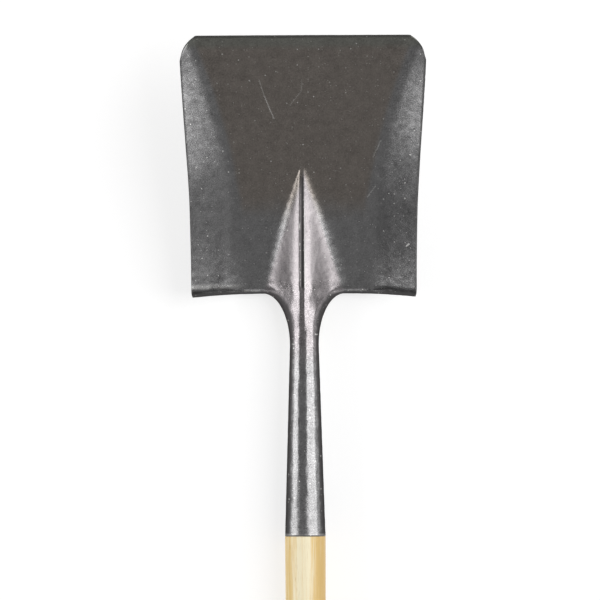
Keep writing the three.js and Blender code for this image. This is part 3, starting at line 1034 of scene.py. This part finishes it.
# %% Steel for the blade and its rivet
STEEL_EDGE_TINT = (0.35, 0.35, 0.35)  # keeps slanting faces from mirroring like chrome
PATCHES = (0.045, 3.0, 0.6)  # size, detail and roughness of a noise
MOTTLE = (0.009, 4.0, 0.65)
GRAIN = (0.0012, 3.0, 0.7)
HAMMERING = (0.0024, 2.0, 0.6)
PITS = (0.0031, 0.12, 0.0009)  # size of a cell, share of the cells that hold one, radius
BROAD_SPECKS = (0.0052, 0.07, 0.00085)
FINE_SPECKS = (0.0027, 0.10, 0.0006)
PIT_STRENGTH = 0.35
FINE_STRENGTH = 0.5
SCRATCHED_TILT = (0.3, 0.6)  # scratches lie on the upper face only
STEEL_ROUGHNESS = 0.17
MOTTLE_ROUGH, DARK_ROUGH, MARK_ROUGH = 0.08, 0.15, 0.15  # added to it
PANEL_ROUGH, PANEL_ROUGH_ALONG = 0.02, (0.05, 0.13)
RIDGE_ROUGH, RIDGE_ROUGH_ALONG = 0.09, (0.0, 0.02)
MOUTH_ROUGH, MOUTH_ROUGH_ALONG = 0.06, (-0.16, -0.22)
ROLLED_ALONG = (0.03, -0.01)
GRAIN_HEIGHT, MOTTLE_HEIGHT, HAMMER_HEIGHT = 0.5, 0.4, 0.7
STEEL_RELIEF = (0.00013, 0.5)  # depth and strength


def steel_roughness(x, y, mottle, dark, marks):
    rough = STEEL_ROUGHNESS + MOTTLE_ROUGH * mottle + PANEL_ROUGH * y.step(*PANEL_ROUGH_ALONG)
    rough = rough + DARK_ROUGH * dark + MARK_ROUGH * marks
    rough = rough + RIDGE_ROUGH * ridge_mask(x, y) * y.step(*RIDGE_ROUGH_ALONG)
    return rough + MOUTH_ROUGH * y.step(*MOUTH_ROUGH_ALONG)


def blade_finish():
    finish = Finish("lacquered_mill_steel", Metallic=1.0, Specular_Tint=STEEL_EDGE_TINT)
    place = shovel_place(finish)
    x, y = finish.parts(place)[:2]
    patches, mottle, grain, hammered = (
        finish.noise(place, *settings) for settings in (PATCHES, MOTTLE, GRAIN, HAMMERING)
    )
    colour = steel_colour(finish, x, y, patches, mottle, grain)
    dark = painted_shade_and_lip_line(finish, x, y, mottle, grain).either(speck_mask(finish, place, *PITS) * PIT_STRENGTH)
    marks = speck_mask(finish, place, *BROAD_SPECKS)
    marks = marks.either(speck_mask(finish, place, *FINE_SPECKS) * FINE_STRENGTH)
    # painted highlights join the specks and scratches
    marks = marks.either(painted_highlights_and_chips(x, y, mottle, grain))
    facing = upright(finish).step(*SCRATCHED_TILT)
    for scratch in SCRATCHES:
        marks = marks.either(scratch_mask(x, y, grain - 0.5, scratch) * facing)
    # Painted shade and pits darken the steel; pale specks, scratches and painted highlights lighten it.
    colour = finish.mix(finish.mix(colour, SHADE_AND_PIT_DARK, dark), PALE_SPECK_AND_GLINT, marks)
    height = GRAIN_HEIGHT * grain + MOTTLE_HEIGHT * mottle + HAMMER_HEIGHT * hammered * y.step(*ROLLED_ALONG)
    finish.drive(Base_Color=colour, Roughness=steel_roughness(x, y, mottle, dark, marks),
                 Normal=finish.bump(height, *STEEL_RELIEF))
    return finish


blade_finish().wear(blade, rivet)
print("steel is on the blade and the rivet, with", len(SCRATCHES), "scratches")

# %% [markdown]
# ## Ash
# The handle is pale ash under varnish. Its rings run nearly straight along it, so the pattern comes from
# the distance to a tree's middle a hand's breadth away, bent a little by slow noise, with short dark pores
# along the early wood. Painted shade warms and darkens it towards both sides, most on its right side, so it
# is palest a little left of its middle. The washer is plain bright steel, only dulled a little.

# %% Ash
PALE_ASH = (0.95, 0.85, 0.60)
WARM_ASH = (0.80, 0.56, 0.20)
PORE_ASH = (0.50, 0.32, 0.11)
# Painted shade: the next colour darkens the handle's right side.
RIGHT_SHADE_ASH = (0.56, 0.36, 0.11)
VARNISH = 0.12
TREE_MIDDLE = (-0.004, -0.070)
TREE_WAVER = 0.012
RING_WIDTH = 0.0042
EARLY_WOOD = ((0.45, 1.0), (1.0, 0.93))  # shares of a ring
WAVER, WAVER_STRETCH = (0.03, 2.0), (1, 0.06, 1)
FIBRES, FIBRE_STRETCH = (0.0011, 3.0, 0.65), (1, 0.025, 1)
PORES, PORE_STRETCH = (0.0007, 1.0), (1, 0.07, 1)
PORE_PICK = (0.60, 0.70)
# Painted shade: the handle warms and darkens from its palest line towards both sides, and deepens more on its
# right side.
PALE_MIDDLE = -0.003
SIDE_SHADE_ASIDE = (0.004, 0.013)  # from the pale middle
RIGHT_SHADE_ASIDE = (0.002, 0.018)
RIGHT_SHADE_STRENGTH = 0.8
EARLY_WEIGHT, FIBRE_WEIGHT, SIDE_SHADE_WEIGHT = 0.4, 2.2, 0.75
PORE_STRENGTH, EARLY_PORE_STRENGTH = 0.15, 0.45
ASH_ROUGHNESS, FIBRE_ROUGH = 0.34, 0.16
PORE_DEPTH = 0.5  # as a share of the fibres' height
ASH_RELIEF = (0.00008, 0.5)


def early_wood(finish, place, x, z):
    """1 in the early wood of each ring, 0 in the late wood."""
    slow = finish.noise(stretched(finish, place, WAVER_STRETCH), *WAVER)
    away_x = x - TREE_MIDDLE[0] + (slow - 0.5) * TREE_WAVER
    away_z = z - TREE_MIDDLE[1]
    distance = (away_x * away_x + away_z * away_z).root()
    rings = finish.node("ShaderNodeMath", {"operation": "FRACT"}, {0: distance / RING_WIDTH})
    return rings.between(*EARLY_WOOD)


def ash_finish():
    finish = Finish("varnished_ash", Metallic=0.0, Coat_Weight=VARNISH)
    place = shovel_place(finish)
    x, _, z = finish.parts(place)
    early = early_wood(finish, place, x, z)
    fibres = finish.noise(stretched(finish, place, FIBRE_STRETCH), *FIBRES)
    pores = finish.noise(stretched(finish, place, PORE_STRETCH), *PORES).step(*PORE_PICK)
    # painted shade towards the handle's sides
    side = abs(x - PALE_MIDDLE).step(*SIDE_SHADE_ASIDE)
    warmth = early * EARLY_WEIGHT + (fibres - 0.5) * FIBRE_WEIGHT + SIDE_SHADE_WEIGHT * side
    colour = finish.mix(PALE_ASH, WARM_ASH, warmth.step(0, 1))
    colour = finish.mix(colour, RIGHT_SHADE_ASH, x.step(*RIGHT_SHADE_ASIDE) * RIGHT_SHADE_STRENGTH)
    colour = finish.mix(colour, PORE_ASH, pores * (PORE_STRENGTH + EARLY_PORE_STRENGTH * early))
    height = fibres - pores * PORE_DEPTH
    finish.drive(Base_Color=colour, Roughness=ASH_ROUGHNESS + FIBRE_ROUGH * fibres,
                 Normal=finish.bump(height, *ASH_RELIEF))
    return finish


ash_finish().wear(handle)
print("ash is on the handle, with rings", 1000 * RING_WIDTH, "mm wide")

# %% Washer steel
WASHER_DARK = (0.24, 0.235, 0.225)
WASHER_LIGHT = (0.46, 0.45, 0.43)
SMEAR = (0.003, 3.0, 0.6)
WASHER_ROUGHNESS, SMEAR_ROUGH = 0.32, 0.2
WASHER_RELIEF = (0.0001, 0.4)


def washer_finish():
    finish = Finish("dull_washer_steel", Metallic=1.0)
    smear = finish.noise(shovel_place(finish), *SMEAR)
    finish.drive(Base_Color=finish.mix(WASHER_DARK, WASHER_LIGHT, smear),
                 Roughness=WASHER_ROUGHNESS + SMEAR_ROUGH * smear,
                 Normal=finish.bump(smear, *WASHER_RELIEF))
    return finish


washer_finish().wear(washer)
print("dull steel is on the washer")

# %% [markdown]
# ## Studio
# Dark polished steel shows only what it mirrors, so the studio is built from what each surface should see:
# a dark ceiling for the panel, a tall soft light on the left and a broad one on the right for the ridge and
# the socket, and grey walls beyond them for the wings. The floor is pale and keeps the shovel's shadow.

# %% Floor, ceiling and room
FLOOR_SIZE = 60.0
FLOOR_GAP = 0.0002
FLOOR_ROUGHNESS = 0.9
FLOOR_LIT = (0.8, 0.8, 0.8)  # for rays that only carry light
FLOOR_SEEN = (0.42, 0.42, 0.42)
FLOOR_GLOW = 0.66  # where it is seen
CEILING_HEIGHT = 4.2
CEILING_SIZE = 24.0
WALL_AWAY = 7.0
WALL_GAP = 0.2
WALL_SIZE = (CEILING_HEIGHT - WALL_GAP, CEILING_SIZE)
WALL_MIDDLE = CEILING_HEIGHT / 2
WALL_CHANGE = (-1.6, -0.9)  # where along the handle a wall's brightness changes
ROOM_LEVEL = 0.3  # for rays that only carry light; it is white where it is seen
CARDS = (  # name, size, place, turn about the handle's direction, brightness towards the butt and the lip
    ("dark_ceiling", (CEILING_SIZE, CEILING_SIZE), (0, 0, CEILING_HEIGHT), 0, 0.355, 0.355),
    ("left_wall", WALL_SIZE, (-WALL_AWAY, 0, WALL_MIDDLE), 90, 0.26, 0.45),
    ("right_wall", WALL_SIZE, (WALL_AWAY, 0, WALL_MIDDLE), 90, 0.42, 0.80),
)


def card(name, size, place, turn=0.0):
    bm = bmesh.new()
    bmesh.ops.create_grid(bm, x_segments=1, y_segments=1, size=0.5)
    bmesh.ops.scale(bm, vec=(*size, 1), verts=bm.verts)
    bmesh.ops.rotate(bm, cent=(0, 0, 0), matrix=Matrix.Rotation(turn, 3, "Y"), verts=bm.verts)
    bmesh.ops.translate(bm, vec=place, verts=bm.verts)
    made = add_object(name, mesh_of(bm, name))
    return made


def seen_directly(finish):
    """1 for camera, glossy and transmission rays, 0 for the rays that only carry light."""
    wires = [
        finish.node("ShaderNodeLightPath", output=name)
        for name in ("Is Camera Ray", "Is Glossy Ray", "Is Transmission Ray")
    ]
    return wires[0].either(wires[1]).either(wires[2])


def floor_finish():
    finish = Finish("pale_floor", Roughness=FLOOR_ROUGHNESS)
    seen = seen_directly(finish)
    finish.drive(Base_Color=finish.mix(FLOOR_LIT, FLOOR_SEEN, seen),
                 Emission_Color=(1, 1, 1), Emission_Strength=seen * FLOOR_GLOW)
    return finish


def card_finish(name, back, front):
    finish = Finish(name, Base_Color=(0, 0, 0), Roughness=1.0, Specular_IOR_Level=0.0)
    place = finish.node("ShaderNodeTexCoord", output="Object")
    towards_lip = finish.parts(place)[1].step(*WALL_CHANGE)
    level = back + (front - back) * towards_lip
    finish.drive(Emission_Color=(1, 1, 1), Emission_Strength=level)
    return finish


floor = card("floor", (FLOOR_SIZE, FLOOR_SIZE), (0, 0, -FLOOR_GAP))
floor_finish().wear(floor)
for name, size, place, turn, back, front in CARDS:
    made = card(name, size, place, radians(turn))
    made.visible_camera = False
    card_finish(name, back, front).wear(made)
    print(name, back, front)

room = bpy.data.worlds.new("white_room")
room.use_nodes = True
bpy.context.scene.world = room


class RoomFinish(Finish):
    """The world's light, written like any other finish."""

    def __init__(self, world):
        self.tree = world.node_tree
        self.shader = self.tree.nodes["Background"]


white_room = RoomFinish(room)
white_room.drive(Color=(1, 1, 1), Strength=ROOM_LEVEL + (1 - ROOM_LEVEL) * seen_directly(white_room))
print("floor, ceiling and room are up")

# %% [markdown]
# Each lamp is described by what the shovel sees of it: how far from straight up it begins and ends, and how
# far it reaches along the handle. Its place and size follow from these angles. Its power is given as
# brightness per area, so a larger lamp isn't a brighter one.

# %% Lamps
LAMP_DISTANCE = 3.0
LAMPS = (  # name, side, from and to angle off straight up, reach towards the butt and the lip, brightness
    ("left_strip", -1, 46, 85, 0.62, 2.0, 2.7),
    ("right_strip", 1, 15.5, 74, 0.68, 2.0, 2.7),
)
lamp_target = TO_FRAME @ Vector((0, 0, 0))


def add_lamp(name, side, start, end, back, front, brightness):
    tilt = radians((start + end) / 2)
    aim = Vector((side * sin(tilt), 0, cos(tilt)))
    data = bpy.data.lights.new(name, "AREA")
    data.shape = "RECTANGLE"
    data.size = 2 * LAMP_DISTANCE * tan(radians((end - start) / 2))
    data.size_y = back + front
    data.energy = brightness * pi * data.size * data.size_y
    lamp = add_object(name, data)
    lamp.location = lamp_target + aim * LAMP_DISTANCE + Vector((0, (front - back) / 2, 0))
    lamp.rotation_euler = (0, side * tilt, 0)
    lamp.visible_camera = False
    return lamp


for row in LAMPS:
    lamp = add_lamp(*row)
    print(lamp.name, [round(part, 2) for part in lamp.location], round(lamp.data.energy), "W")

# %% [markdown]
# ## Camera
# The photograph looks straight down on the face from far off, so its outlines show hardly any perspective.
# A long lens from sixteen metres up does the same. From much farther, a view of another side with the same
# lens would lie beyond its clip distance. The picture is square, and 0.584 metres wide.

# %% Camera
CAMERA_DISTANCE = 16.0
SENSOR_WIDTH = 36.0
FIELD = 0.584
ROLL = radians(0.3)
VIEW_MIDDLE = Vector((-0.0040, 0.4605, 0.05))

lens = bpy.data.cameras.new("long_lens")
lens.sensor_width = SENSOR_WIDTH
lens.lens = SENSOR_WIDTH * CAMERA_DISTANCE / FIELD
camera = add_object("camera", lens)
camera.location = VIEW_MIDDLE + CAMERA_DISTANCE * Vector((0, 0, 1))
camera.rotation_euler = (0, 0, -ROLL)
bpy.context.scene.camera = camera
bpy.context.scene.view_settings.view_transform = "Standard"
print("lens", round(lens.lens), "mm")
